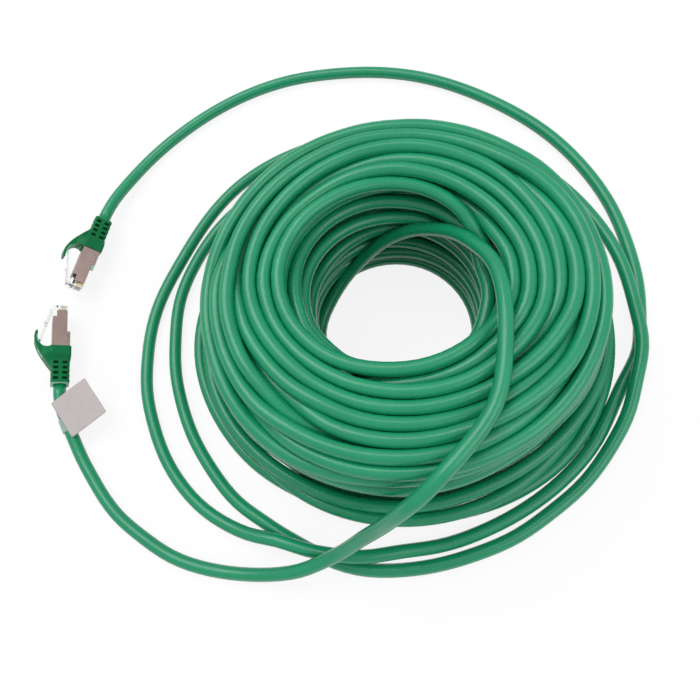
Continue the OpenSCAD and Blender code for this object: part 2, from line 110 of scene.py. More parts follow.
LEAD_A = [
    (-145.9, 71.4, 7.3), (-140.2, 83.6, 5.3), (-130, 99.5, 3.2), (-110, 119, 3), (-93, 131, 3),
    (-75, 140, 3), (-55.5, 146, 3), (-33, 148.5, 3), (-7, 147.5, 3), (17, 142, 3),
    (40, 131.5, 3), (60.5, 118, 3), (78, 102, 3), (92.5, 82, 3), (102, 62, 3),
    (107.5, 40, 3), (109.5, 17.5, 3), (108, 0, 3)]

LOOPS = [
    (106, -11, 3), (98.5, -25, 3), (84, -51, 3), (67.5, -69, 3), (50, -81.5, 3),
    (33, -90, 3), (16.5, -95.5, 3.2), (-2, -98.5, 6), (-15, -100.5, 8.4),
    (-27, -100, 9.3), (-39.5, -98, 9.3), (-52, -94.5, 9), (-63, -92.5, 6.5),
    (-72, -89.5, 4.2), (-85, -82.5, 3), (-98, -70.5, 3), (-107, -57.5, 3),
    (-113.5, -43, 3), (-118, -28, 3), (-119.5, -12, 3), (-119, 3.5, 3),
    (-115.5, 20, 3), (-108.5, 37, 3), (-98.5, 57, 3), (-82, 79.5, 3),
    (-59, 96, 3), (-34, 105, 3), (-8, 108.5, 3), (18, 107, 3), (43, 99.5, 3),
    (65, 87, 3.6), (82, 69.5, 5.4), (94.5, 48.5, 7.6), (101.5, 29, 9.2),
    (105, 6, 9.4), (105.5, -11, 9.4), (101.5, -26, 9), (97, -40, 7.4),
    (90.5, -52, 5.2), (77.5, -69, 3), (62.5, -81.5, 3), (47.5, -91.5, 3),
    (32.5, -98, 3), (16, -103, 3), (0, -105.5, 3), (-19.5, -105, 3),
    (-30, -102, 3), (-41.5, -96.5, 3), (-52, -91, 3), (-61, -85.5, 3),
    (-70, -79.5, 3), (-83.5, -65, 3), (-94, -49, 3), (-101, -32.5, 3),
    (-105, -17.5, 3), (-106.5, -2, 3), (-106, 18, 3), (-100, 37.5, 3),
    (-89, 57, 3), (-75, 72, 3), (-57, 84, 3), (-36, 90.5, 3), (-14, 92, 3), (8, 88.5, 3)]

LEAD_B = [
    (-158.3, -33.7, 7.3), (-154.5, -43, 5.6), (-150.5, -51, 4.2), (-146.5, -58.5, 3.2),
    (-140, -68, 3),
    (-126, -84.5, 3), (-113, -94, 3), (-101, -101, 3), (-86, -106, 3),
    (-73, -108, 3.6), (-63, -108.5, 5.2), (-51, -108, 8.6), (-40, -106, 12.6),
    (-31, -102.5, 16.4), (-22.5, -98.5, 23), (-14.5, -94, 33), (-8, -90.8, 42.5),
    (-3.1, -88.2, 53), (3.5, -84, 63.5), (8.5, -80, 67.5), (14.5, -74, 70.5),
    (24.5, -63, 71.8), (32.5, -51, 72), (37, -32, 72), (38, -19, 71.8),
    (38, -8.5, 70), (35.5, 5, 66), (30, 15.5, 59.5), (24.5, 23, 53.5),
    (18.5, 28, 48), (8.5, 32.5, 40.5), (-6, 33, 28.5), (-14, 30.5, 20),
    (-22, 25.5, 12.5), (-27.5, 19.5, 8.6), (-32.5, 12, 5.4), (-36.5, 2.5, 3.2)]


def spline(points, spacing):
    """A natural cubic spline through points, sampled about every spacing along it."""
    p = np.asarray(points, float)
    t = np.concatenate([[0], np.cumsum(np.linalg.norm(np.diff(p, axis=0), axis=1))])
    n = len(p)
    h = np.diff(t)
    low, diag, up = np.zeros(n), np.ones(n), np.zeros(n)
    rhs = np.zeros_like(p)
    slope = np.diff(p, axis=0) / h[:, None]
    low[1:-1], up[1:-1] = h[:-1], h[1:]
    diag[1:-1] = 2 * (h[:-1] + h[1:])
    rhs[1:-1] = 6 * (slope[1:] - slope[:-1])
    for i in range(1, n):
        w = low[i] / diag[i - 1]
        diag[i] -= w * up[i - 1]
        rhs[i] -= w * rhs[i - 1]
    m = np.zeros_like(p)
    for i in range(n - 2, 0, -1):
        m[i] = (rhs[i] - up[i] * m[i + 1]) / diag[i]
    at = np.linspace(0, t[-1], int(round(t[-1] / spacing)) + 1)
    k = np.clip(np.searchsorted(t, at, side="right") - 1, 0, n - 2)
    a = ((t[k + 1] - at) / h[k])[:, None]
    b = 1 - a
    hk = (h[k] ** 2)[:, None] / 6
    return a * p[k] + b * p[k + 1] + ((a ** 3 - a) * m[k] + (b ** 3 - b) * m[k + 1]) * hk


# ---- The coil ----
# Its section is followed from the foot of the outer wall, over the top, to the foot of the inner
# wall. A place on it is the distance along that line, and how deep the cable lies below it.

OUTER_R, INNER_R, TOP_Z, BOTTOM_Z = 83.0, 40.0, 65.0, 3.0
SHOULDER_R, EDGE_R = 18.0, 6.0
WALL_OUT = TOP_Z - SHOULDER_R - BOTTOM_Z
ARC_OUT = math.pi / 2 * SHOULDER_R
FLAT_TOP = OUTER_R - SHOULDER_R - INNER_R - EDGE_R
ARC_IN = math.pi / 2 * EDGE_R
S_SHOULDER = WALL_OUT
S_TOP = S_SHOULDER + ARC_OUT
S_EDGE = S_TOP + FLAT_TOP
S_INNER = S_EDGE + ARC_IN


def section_place(s, depth=0.0):
    """Radius and height of the place s along the section's line, depth below it."""
    if s < S_SHOULDER:
        return OUTER_R - depth, BOTTOM_Z + s
    if s < S_TOP:
        t = (s - S_SHOULDER) / SHOULDER_R
        r = SHOULDER_R - depth
        return OUTER_R - SHOULDER_R + r * math.cos(t), TOP_Z - SHOULDER_R + r * math.sin(t)
    if s < S_EDGE:
        return OUTER_R - SHOULDER_R - (s - S_TOP), TOP_Z - depth
    if s < S_INNER:
        t = (s - S_EDGE) / EDGE_R
        r = EDGE_R - depth
        return INNER_R + EDGE_R - r * math.sin(t), TOP_Z - EDGE_R + r * math.cos(t)
    return INNER_R + depth, TOP_Z - EDGE_R - (s - S_INNER)


# Stretches of cable that show in the coil, as they were read off: azimuth (degrees, counter-
# clockwise), where on the section's line the stretch's outer edge shows, and how deep it lies.
# Each comes up from below at its start and sinks at its end.
RIM = [(0, 107, 0), (15, 101, 0), (30, 98.7, 0), (50, 96.4, 0), (70, 94.7, 0), (90, 93.3, 0),
       (110, 92, 0), (130, 90.7, 0), (150, 88.9, 0), (170, 88.3, 0), (190, 89.5, 0), (210, 91.6, 0),
       (230, 94.1, 0), (240, 97.5, 0), (270, 101, 0), (300, 98.8, 0), (315, 96.5, 0), (330, 94.5, 0),
       (340, 92.1, 0), (350, 91.3, 0), (370, 91.4, 0.5), (380, 92.4, 1), (390, 93.7, 2), (405, 94.5, 5)]
UPPER = [(235, 92.5, 5), (255, 94.5, 3.2), (270, 95, 2.6), (285, 94.6, 2), (300, 93.4, 1), (320, 90.3, 0),
         (340, 86.7, 0), (350, 85.6, 0), (370, 85.6, 0), (390, 87.4, 0), (410, 88.3, 0), (430, 88, 0),
         (450, 87.2, 0), (480, 87, 0.3), (490, 86.9, 0.4), (510, 85.2, 0.5), (530, 84.2, 0.3),
         (540, 83.6, 0), (560, 85.1, 0), (580, 87.4, 0), (600, 89.3, 0), (620, 90.1, -0.5),
         (640, 89.3, -0.6), (660, 87, -0.5), (680, 84.7, 0), (700, 81.3, 0), (710, 79.9, 0),
         (730, 79.8, 0), (750, 81, 0), (780, 82.3, 0), (810, 82.6, 0.5), (830, 83.5, 1), (850, 83.4, 2),
         (870, 82.8, 3), (900, 83.6, 5.4)]
MIDDLE = [(318, 83.4, 5.6), (330, 80.2, 4.5), (340, 77.5, 3.4), (350, 75.1, 2.2), (360, 74.3, 1),
          (370, 74, 0.3), (390, 75, 0), (410, 75.4, 0), (430, 76, -0.3), (450, 76.1, -0.5),
          (470, 77.7, -0.3), (490, 77.9, 0), (520, 77.3, 0), (540, 77.7, 0), (560, 79.6, 0.2),
          (570, 81.3, 0.2), (590, 83, 0), (610, 83.8, 0), (630, 83.9, 0), (650, 82.5, 0), (670, 79.4, 0),
          (690, 74.4, 0), (700, 71.8, 0), (710, 68.9, 0), (730, 68.9, 0.3), (740, 69.7, 0.8),
          (750, 71.4, 2.6), (762, 73, 5), (845, 75.6, 5.6), (860, 75.2, 5), (880, 73.3, 3.8),
          (900, 73, 2.8), (920, 74.8, 1.4), (940, 77.1, 0.4), (960, 78.1, 0), (990, 78, 0),
          (1010, 77, 0), (1030, 74.3, 0.6), (1050, 70.4, 3.2), (1067, 69, 5.6)]
SHOULDER = [(198, 74.3, 5.6), (210, 73.9, 5), (225, 73.5, 4), (240, 73.1, 2.4), (260, 72.3, 0.2),
            (280, 71.8, 0), (300, 70.2, 0), (320, 67, 0), (330, 64.7, 0), (350, 62.4, 0),
            (365, 61.2, -0.6), (380, 62.2, -0.8), (390, 64.3, -0.5), (400, 66.8, 0), (410, 69.1, 0),
            (430, 71.3, 0.4), (450, 71.8, 0.6), (480, 72, 0.3), (500, 70.9, 0.3), (520, 69.9, 0.4),
            (540, 69, 0.5), (570, 68.4, 0.5), (590, 69.1, 2.5), (605, 70.5, 4.4), (622, 71.5, 5.8)]
OUTLINE = [(208, 63, 5.6), (220, 62.2, 4.4), (240, 60.5, 2.6), (260, 60.5, 1.6), (280, 61, 1.4),
           (300, 60.8, 1.4), (320, 58.4, 0.6), (340, 55.3, 0), (350, 53.5, 0), (360, 53, 0.6),
           (375, 55, 1.2), (390, 57.5, 1.2), (400, 59.5, 1), (410, 62.8, 0.8), (430, 64.8, 1),
           (450, 66.4, 1.4), (470, 66.2, 1), (490, 64.7, 0.6), (510, 63.2, 1.2), (530, 60.9, 2),
           (550, 58.6, 2.2), (570, 56.1, 1.4), (580, 54.5, 1.4), (590, 54.4, 2), (600, 55, 3),
           (620, 57.6, 4.2), (640, 58.8, 5), (660, 59.4, 6)]
SHORT = [(138, 70.3, 5.8), (150, 68.9, 4.6), (165, 67.1, 3), (180, 65.1, 2), (200, 63.7, 1.4),
         (220, 63.9, 1.2), (240, 65, 0.6), (270, 66.3, 0), (290, 66.2, 0.2), (310, 65, 1.6),
         (320, 64.5, 3.4), (330, 64.5, 5.6)]
LOW_OUTLINE = [(240, 54.8, 5), (250, 54, 5), (270, 53.6, 5), (290, 55, 5), (310, 57, 5.5),
               (325, 56.5, 6), (350, 53.5, 6.5)]
# The rim and the turn under it on the near side, where only the hole's edge shows: azimuth, radius,
# height of the cable's middle.
NEAR_RIM = [(205, 43.6, 64.9), (215, 42.3, 64.8), (225, 40.7, 64.6), (235, 39.2, 64.5), (245, 38, 64.5),
            (255, 36.9, 64.5), (265, 36.1, 64.5), (275, 36, 64.5), (285, 36.2, 64.5), (295, 36.6, 64.6),
            (305, 37.2, 64.7), (315, 38.4, 64.8), (325, 39.8, 64.9)]
NEAR_UPPER = [(235, 43, 57.5), (250, 41.3, 59.3), (265, 40.4, 60.6), (275, 40.4, 60.7), (285, 40.7, 61),
              (295, 41.4, 61.6), (305, 42.4, 62.5), (315, 43.6, 63.5)]
# where the outer edge of the whole upper coil shows, all round
COIL_EDGE = [(0, 53), (15, 55), (30, 57.5), (40, 59.5), (50, 62.8), (70, 64.8), (90, 66.4),
             (110, 66.2), (130, 64.7), (150, 63.2), (170, 60.9), (190, 58.6), (200, 57.8), (210, 56.1),
             (220, 54.5), (240, 54.4), (270, 53.6), (290, 55), (300, 56.3), (320, 57.2), (330, 55.2),
             (340, 54), (350, 53.2), (360, 53)]

SLICES = 60                            # sections round the coil that the cable is settled in
STEP = 360.0 / SLICES
COIL_IN, COIL_TURNS = 195.0, 72        # azimuth of the inner end, and turns up to the outer end
COIL_OUT = 60.0
FOOT_FROM = 24960.0                    # where the cable leaves the wall for its loose foot turns
PLACED = 0.5                           # pull on turns that are placed point by point
COLUMNS = (46.5, 53.5, 60.5, 67.5, 73.5)
ROWS = np.linspace(4, 58, 9)
DOWN_AND_UP = (8, 6, 4, 2, 0, 1, 3, 5, 7)
APART = CABLE_D + 0.05                 # between the middles of turns that lie on each other
CORE = np.array([60.0, 30.0])          # radius and height of the middle of the coil's section
SMOOTHING, PUSH, SINK = 0.35, 0.45, 0.6
TO_SIGHT, TO_DEPTH = 0.4, 0.05         # pull of a shown turn across the line of sight, and along it
ROUNDS = 900


def sight(azimuth, r, z):
    """Square to the line of sight in the coil's section at an azimuth, pointing outward."""
    a = np.radians(azimuth)
    camera = CAMERA_AT / MM
    n = np.stack([camera[2] - z, r - camera[0] * np.cos(a) - camera[1] * np.sin(a)], axis=-1)
    return n / np.linalg.norm(n, axis=-1, keepdims=True)


def section_depth(r, z):
    """How far (r, z) lies inside the section's line."""
    shoulder = (r > OUTER_R - SHOULDER_R) & (z > TOP_Z - SHOULDER_R)
    edge = (r < INNER_R + EDGE_R) & (z > TOP_Z - EDGE_R)
    out = np.maximum(np.maximum(r - OUTER_R, INNER_R - r), z - TOP_Z)
    out = np.where(shoulder, np.hypot(r - OUTER_R + SHOULDER_R, z - TOP_Z + SHOULDER_R) - SHOULDER_R, out)
    out = np.where(edge, np.hypot(r - INNER_R - EDGE_R, z - TOP_Z + EDGE_R) - EDGE_R, out)
    return -out


def under_edge(azimuth, s, depth):
    """Middle of a cable whose outer edge shows at s on the section's line, depth below the line."""
    edge = np.array(section_place(s))
    n = sight(azimuth, edge[0], edge[1])
    down = np.array([n[1], -n[0]])
    at = edge - CABLE_R * n
    for _ in range(12):
        at = at + down * (depth - float(section_depth(at[0], at[1])))
    return at, n


def buried_leg(start, end, column):
    """Turns down one column inside the coil and up again, as (azimuth, radius, height)."""
    turns = np.linspace(start, end, len(DOWN_AND_UP) + 2)[1:-1]
    return [(a, column + (1.5 if row % 2 else -1.5), ROWS[row]) for a, row in zip(turns, DOWN_AND_UP)]


def coil_plan(azimuth):
    """Home, pull, least depth, and sight line of every point of the cable's plan."""
    loose, seen = [], []

    def show(stretch, shift):
        for a, s, depth in (stretch[0], stretch[-1]):
            at, _ = under_edge(a, s, depth)
            loose.append((a + shift, at[0], at[1], 0.05, depth - 1))
        seen.append((stretch, shift))

    def bury(leg):
        for a, r, z in leg:
            loose.append((a, r, z, 0.02, 5.2))

    # inner wall, from its foot up: it leans, so its foot is nearer the middle
    wall = [(195, 36.8, 3), (330, 36.4, 3), (450, 36.6, 4.5), (600, 38.5, 9), (810, 37, 12.5),
            (990, 38.5, 16), (1170, 37.8, 20), (1350, 38.2, 25), (1530, 38.8, 30), (1710, 37.6, 36),
            (1890, 39.4, 41.5), (2005, 37.8, 51), (2025, 36, 53), (2045, 35, 53.5), (2065, 36, 53),
            (2100, 37, 51), (2140, 38.5, 47.5), (2250, 40.6, 50.5), (2320, 41, 56), (2365, 41, 59),
            (2385, 38.6, 59), (2405, 36.8, 58.6), (2425, 36.6, 58.4), (2460, 37, 57), (2490, 38.5, 54.5)]
    for a, r, z in wall:
        loose.append((a, r, z, 0.2, -4.0))
    show(RIM, 2520)
    bury(buried_leg(2925, 6355, COLUMNS[0]))
    show(UPPER, 6120)
    bury(buried_leg(7020, 10398, COLUMNS[1]))
    show(MIDDLE, 10080)
    bury(buried_leg(11147, 14238, COLUMNS[2]))
    show(SHOULDER, 14040)
    bury(buried_leg(14662, 17848, COLUMNS[3]))
    show(OUTLINE, 17640)
    bury(buried_leg(18300, 21378, COLUMNS[4]))
    show(SHORT, 21240)
    loose.append((21700, 72, 52, 0.1, 4.0))
    show(LOW_OUTLINE, 21600)
    # outer wall, from under the shoulder down
    for turn in range(8):
        for quarter in range(4):
            a = 22040 + turn * 360 + quarter * 90
            z = 48 - (turn + quarter / 4) * 5.6
            lean = 0.8 * math.sin(2.4 * turn + 1.9 * quarter)
            if a < 24660:
                loose.append((a, OUTER_R - 2 + lean, max(z, 3), 0.12, -2.0))
    loose += [(24700, 76.5, 5, 0.2, -2.0), (24750, 75.2, 3.5, 0.3, -2.0), (24810, 77, 4, 0.2, -2.0),
              (24870, 80.5, 6, 0.12, -2.0)]
    # three loose turns round its foot
    foot = [(24960, 80, 4), (25000, 82.5, 4), (25040, 85.5, 3), (25055, 84.9, 5), (25069, 84.2, 7.6),
            (25085, 84.5, 8.8), (25105, 84.2, 8.9), (25125, 84.1, 8.8), (25145, 84.7, 8), (25155, 85.4, 6.8),
            (25165, 86.1, 5.4), (25200, 87, 4), (25290, 82, 5), (25350, 86.4, 6), (25385, 91, 7.2),
            (25405, 88.9, 7.8), (25415, 87, 10), (25425, 85.1, 12.4), (25435, 83.5, 13.8), (25445, 82.3, 14),
            (25465, 80.2, 13.6), (25495, 79.2, 12.6), (25515, 82.1, 12), (25525, 85.1, 10.8),
            (25535, 87.4, 9.4), (25545, 90.6, 8.4), (25555, 93, 8.7), (25590, 88, 6), (25650, 83.5, 4),
            (25680, 86, 3), (25710, 90.6, 3), (25745, 95.4, 3), (25765, 92.2, 3), (25785, 88.2, 3),
            (25805, 85.3, 3), (25822, 84, 3), (25835, 84.4, 3), (25845, 85.5, 3), (25865, 88.3, 3),
            (25885, 91.6, 3), (25905, 94, 3), (25920, 94.6, 3), (25950, 92, 3), (25980, 87.6, 3)]
    for a, r, z in foot:
        loose.append((a, r, z, 0.3, -16.0))
    knots = np.array(loose)
    home = np.stack([np.interp(azimuth, knots[:, 0], knots[:, k]) for k in (1, 2)], axis=1)
    pull = np.interp(azimuth, knots[:, 0], knots[:, 3])
    least = np.interp(azimuth, knots[:, 0], knots[:, 4])
    across = np.zeros_like(home)
    for stretch, shift in seen:
        table = np.array(stretch)
        for i in np.flatnonzero((azimuth >= table[0, 0] + shift) & (azimuth <= table[-1, 0] + shift)):
            local = azimuth[i] - shift
            s, depth = (np.interp(local, table[:, 0], table[:, k]) for k in (1, 2))
            home[i], across[i] = under_edge(local, s, depth)
            least[i] = min(depth - 1.5, 4)
    for table, shift in ((NEAR_RIM, 2520), (NEAR_UPPER, 6120)):
        table = np.array(table)
        i = (azimuth >= table[0, 0] + shift) & (azimuth <= table[-1, 0] + shift)
        home[i] = np.stack([np.interp(azimuth[i] - shift, table[:, 0], table[:, k]) for k in (1, 2)], axis=1)
        pull[i], least[i], across[i] = PLACED, -9, 0
    return home, pull, least, across


def near_obstacles(routes):
    """For each slice, the other cable near it: radius, height and distance from the slice's plane."""
    p = np.concatenate([spline(r, 1.5) for r in routes])
    radius = np.hypot(p[:, 0], p[:, 1])
    azimuth = np.degrees(np.arctan2(p[:, 1], p[:, 0])) % 360
    found = []
    for k in range(SLICES):
        off = (azimuth - k * STEP + 180) % 360 - 180
        side = radius * np.sin(np.radians(off))
        near = (abs(off) < 60) & (abs(side) < CABLE_D) & (radius < 104)
        found.append(np.stack([radius[near], p[near, 2], side[near]], axis=1))
    most = max(len(f) for f in found)
    table = np.full((SLICES, most, 3), 1e4)
    for k, f in enumerate(found):
        table[k, :len(f)] = f
    return table


def settle_coil():
    """The middle line of the coiled cable, from the foot of the inner wall outward."""
    rng = np.random.default_rng(11)
    first = int(round(COIL_IN / STEP))
    count = int(round((COIL_TURNS * 360 + COIL_OUT) / STEP)) - first + 1
    index = np.arange(first, first + count)
    azimuth = index * STEP
    home, pull, least, across = coil_plan(azimuth)
    shown = np.abs(across).sum(1) > 0
    along = np.stack([across[:, 1], -across[:, 0]], axis=1)
    # slow waves of a hand-laid cable, on what isn't given one by one
    knots = azimuth[0] + np.arange(0, count * STEP + 140, 70)
    wave = np.stack([np.interp(azimuth, knots, rng.normal(0, 1, len(knots))) for _ in range(2)], axis=1)
    home += wave * np.where(shown | (pull >= PLACED), 0, 0.9)[:, None]
    # no turn but the foot's stands out past the upper coil's edge, seen from above
    edge_s = np.interp(azimuth % 360, [a for a, _ in COIL_EDGE], [e for _, e in COIL_EDGE])
    edge = np.array([section_place(e) for e in edge_s])
    edge_way = sight(azimuth % 360, edge[:, 0], edge[:, 1])
    kept_in = azimuth < FOOT_FROM
    # the wall's lowest turn comes out a little on the near side, under the edge's shade
    slack = np.interp(azimuth, [24660, 24710, 24820, 24860], [0, 2.6, 2.6, 0])

    slot, turn = index % SLICES, index // SLICES
    turns = turn.max() + 1
    grid = np.zeros((SLICES, turns, 2))
    filled = np.zeros((SLICES, turns), bool)
    filled[slot, turn] = True
    far_off = (~filled)[:, :, None] * (1e4 + np.arange(turns)[None, :, None] * 50.0)
    obstacle = near_obstacles([LOOPS, LEAD_B])
    own = np.arange(turns)
    pos = home.copy()
    for step in range(ROUNDS):
        late = step / ROUNDS
        smooth = 0.5 * (np.roll(pos, 1, 0) + np.roll(pos, -1, 0)) - pos
        smooth[0] = smooth[-1] = 0
        pos += SMOOTHING * smooth
        off = home - pos
        to_sight = (off * across).sum(1)[:, None] * across * TO_SIGHT
        to_depth = (off * along).sum(1)[:, None] * along * TO_DEPTH
        pos += np.where(shown[:, None], to_sight + to_depth, off * (pull * (1.0 - 0.75 * late))[:, None])
        grid[slot, turn] = pos
        spread = grid + far_off
        d = spread[:, :, None, :] - spread[:, None, :, :]
        dist = np.sqrt((d ** 2).sum(-1)) + 1e-9
        dist[:, own, own] = 1e6
        push = np.clip(APART - dist, 0, None) * PUSH
        move = (d * (push / dist)[..., None]).sum(2)
        o = spread[:, :, None, :] - obstacle[:, None, :, :2]
        od = np.sqrt((o ** 2).sum(-1)) + 1e-9
        room = np.sqrt(np.clip(APART ** 2 - obstacle[:, None, :, 2] ** 2, 0, None))
        opush = np.clip(room - od, 0, None)
        worst = opush.argmax(2)[:, :, None, None]
        move += np.take_along_axis(o / od[..., None] * opush[..., None], worst, axis=2)[:, :, 0]
        pos += move[slot, turn]
        past = ((pos - edge) * edge_way).sum(1) + CABLE_R - slack
        pos -= edge_way * np.where(kept_in, np.clip(past, 0, None), 0)[:, None]
        pos[:, 1] = np.clip(pos[:, 1], CABLE_R + 0.03, TOP_Z + 1.2)
        # what is buried stays below the layer that shows
        short = np.clip(least - section_depth(pos[:, 0], pos[:, 1]), 0, None)
        inward = CORE - pos
        inward /= np.linalg.norm(inward, axis=1)[:, None] + 1e-9
        pos += inward * short[:, None] * SINK
    a = np.radians(azimuth)
    return np.stack([pos[:, 0] * np.cos(a), pos[:, 0] * np.sin(a), pos[:, 1]], axis=1)


RING_SPACING = 4.6
MIN_BEND, BEND_MARGIN = 22.0, 2.0


def eased(line, rounds=40):
    """The same line with its bends that are tighter than MIN_BEND opened a little."""
    p = line.copy()
    inner = slice(12, len(p) - 12)
    for _ in range(rounds):
        a, b, c = p[:-4], p[2:-2], p[4:]
        ab, bc, ca = (np.linalg.norm(v, axis=1) for v in (b - a, c - b, a - c))
        area = np.linalg.norm(np.cross(b - a, c - b), axis=1) / 2
        radius = ab * bc * ca / np.maximum(4 * area, 1e-9)
        weight = np.zeros(len(p))
        weight[2:-2] = np.clip((MIN_BEND + BEND_MARGIN - radius) / (3 * BEND_MARGIN), 0, 1)
        weight = np.max([np.roll(weight, k) * (1 - abs(k) / 5) for k in range(-4, 5)], axis=0)
        pull = np.zeros_like(p)
        pull[3:-3] = (p[:-6] + p[6:]) / 2 - p[3:-3]
        p[inner] += 0.12 * weight[inner, None] * pull[inner]
    return p


whole = np.concatenate([[PLUG_A_AT], LEAD_A, LOOPS, settle_coil()[::-1], LEAD_B[::-1], [PLUG_B_AT]])
route = eased(spline(whole, RING_SPACING))
route[:, 2] = np.maximum(route[:, 2], CABLE_R)


# ---- Making meshes ----

def mesh_piece(name, verts, faces, smooth=True):
    data = bpy.data.meshes.new(name)
    data.from_pydata([tuple(v) for v in verts], [], faces)
    data.update()
    for poly in data.polygons:
        poly.use_smooth = smooth
    piece = bpy.data.objects.new(name, data)
    bpy.context.scene.collection.objects.link(piece)
    return piece


def band(a, b, count):
    """Faces between two rings of count points, whose first points are a and b."""
    return [[a + k, a + (k + 1) % count, b + (k + 1) % count, b + k] for k in range(count)]


def cap(a, count):
    """The face that fills a ring of count points, whose first point is a."""
    return list(range(a, a + count))


def recalculated(piece):
    """The piece with all its faces turned outward."""
    bm = bmesh.new()
    bm.from_mesh(piece.data)
    bmesh.ops.recalc_face_normals(bm, faces=bm.faces)
    bm.to_mesh(piece.data)
    bm.free()
    return piece


def tube_piece(name, path, radius, sides):
    """A closed round tube along path, in millimetres."""
    p = np.asarray(path, float)
    t = np.gradient(p, axis=0)
    t /= np.linalg.norm(t, axis=1)[:, None]
    s = np.cross(t, [0, 0, 1.0])
    s /= np.linalg.norm(s, axis=1)[:, None]
    n = np.cross(s, t)
    a = np.arange(sides) * 2 * math.pi / sides
    ring = radius * (np.cos(a)[None, :, None] * s[:, None] + np.sin(a)[None, :, None] * n[:, None])
    verts = ((p[:, None] + ring) * MM).reshape(-1, 3)
    last = (len(p) - 1) * sides
    faces = [face for start in range(0, last, sides) for face in band(start, start + sides, sides)]
    faces += [cap(0, sides)[::-1], cap(last, sides)]
    return mesh_piece(name, verts, faces)


# ---- Materials ----

class Finish:
    """A procedural material: a Principled shader with a few textures in object space."""

    def __init__(self, name):
        self.material = bpy.data.materials.new(name)
        self.material.use_nodes = True
        self.tree = self.material.node_tree
        self.shader = self.tree.nodes["Principled BSDF"]
        coordinates = self.tree.nodes.new("ShaderNodeTexCoord")
        self.place = coordinates.outputs["Object"]

    def set(self, **values):
        for key, value in values.items():
            self.shader.inputs[key.replace("_", " ")].default_value = value
        return self

    def noise(self, scale, detail=3, rough=0.5):
        node = self.tree.nodes.new("ShaderNodeTexNoise")
        node.inputs["Scale"].default_value = scale
        node.inputs["Detail"].default_value = detail
        node.inputs["Roughness"].default_value = rough
        self.tree.links.new(self.place, node.inputs["Vector"])
        return node.outputs["Fac"]

    def colour(self, fac, *stops):
        ramp = self.tree.nodes.new("ShaderNodeValToRGB")
        while len(ramp.color_ramp.elements) < len(stops):
            ramp.color_ramp.elements.new(0.5)
        for element, (at, rgb) in zip(ramp.color_ramp.elements, stops):
            element.position = at
            element.color = (*rgb, 1)
        self.tree.links.new(fac, ramp.inputs["Fac"])
        self.tree.links.new(ramp.outputs["Color"], self.shader.inputs["Base Color"])
        return self

    def ranged(self, fac, low, high, socket):
        node = self.tree.nodes.new("ShaderNodeMapRange")
        node.inputs["From Min"].default_value = 0.3
        node.inputs["From Max"].default_value = 0.7
        node.inputs["To Min"].default_value = low
        node.inputs["To Max"].default_value = high
        self.tree.links.new(fac, node.inputs["Value"])
        self.tree.links.new(node.outputs["Result"], self.shader.inputs[socket])
        return self

    def bump(self, fac, height, strength=1.0):
        node = self.tree.nodes.new("ShaderNodeBump")
        node.inputs["Strength"].default_value = strength
        node.inputs["Distance"].default_value = height
        self.tree.links.new(fac, node.inputs["Height"])
        self.tree.links.new(node.outputs["Normal"], self.shader.inputs["Normal"])
        return self


def shades(rgb, spread):
    return [tuple(c * (1 - spread) for c in rgb), tuple(c * (1 + spread) for c in rgb)]


def moulded(name, rgb, spread, rough, grain):
    """Moulded or extruded plastic: faint cloudy colour, uneven gloss, fine grain."""
    dark, light = shades(rgb, spread)
    f = Finish(name)
    f.colour(f.noise(60, 4), (0.3, dark), (0.7, light))
    f.ranged(f.noise(140, 3), rough - 0.05, rough + 0.06, "Roughness")
    f.bump(f.noise(2600, 2), grain)
    return f


cable_green = moulded("cable_jacket", (0.008, 0.315, 0.145), 0.06, 0.27, 0.000012)
cable_green.set(Specular_IOR_Level=0.6)
boot_green = moulded("boot_plastic", (0.003, 0.18, 0.058), 0.05, 0.4, 0.00003)
boot_green.set(Specular_IOR_Level=0.15)
# pale mint: painted light, standing for the white floor's light from below and the white surroundings
# reflected at grazing angles
boot_painted_light = moulded("boot_plastic_painted_light", (0.36, 0.66, 0.48), 0.05, 0.45, 0.00002)
boot_painted_light.set(Specular_IOR_Level=0.4)
# near-black green: painted shade at the foot of the slots
boot_painted_shade = moulded("boot_plastic_shade", (0.003, 0.03, 0.008), 0.2, 0.6, 0.00002)
boot_painted_shade.set(Specular_IOR_Level=0.1)


def clear_plastic(name, tint, rough, ior):
    """Clear plastic with faint flow marks in its gloss."""
    f = Finish(name)
    f.set(Transmission_Weight=1.0, IOR=ior)
    f.colour(f.noise(90, 2), (0.3, tint), (0.7, tuple(min(1, c * 1.03) for c in tint)))
    f.ranged(f.noise(300, 3), rough, rough + 0.07, "Roughness")
    f.bump(f.noise(500, 2), 0.00001)
    return f


def metal(name, rgb, rough, spread=0.06, grain=(3000, 300, 300), depth=0.000004):
    """Metal whose fine scratches run one way."""
    f = Finish(name)
    f.set(Metallic=1.0)
    dark, light = shades(rgb, spread)
    f.colour(f.noise(220, 3), (0.3, dark), (0.7, light))
    stretch = f.tree.nodes.new("ShaderNodeMapping")
    stretch.inputs["Scale"].default_value = grain
    f.tree.links.new(f.place, stretch.inputs["Vector"])
    lines = f.tree.nodes.new("ShaderNodeTexNoise")
    lines.inputs["Scale"].default_value = 1.0
    lines.inputs["Detail"].default_value = 3
    f.tree.links.new(stretch.outputs["Vector"], lines.inputs["Vector"])
    f.ranged(lines.outputs["Fac"], rough - 0.06, rough + 0.08, "Roughness")
    f.bump(lines.outputs["Fac"], depth)
    return f


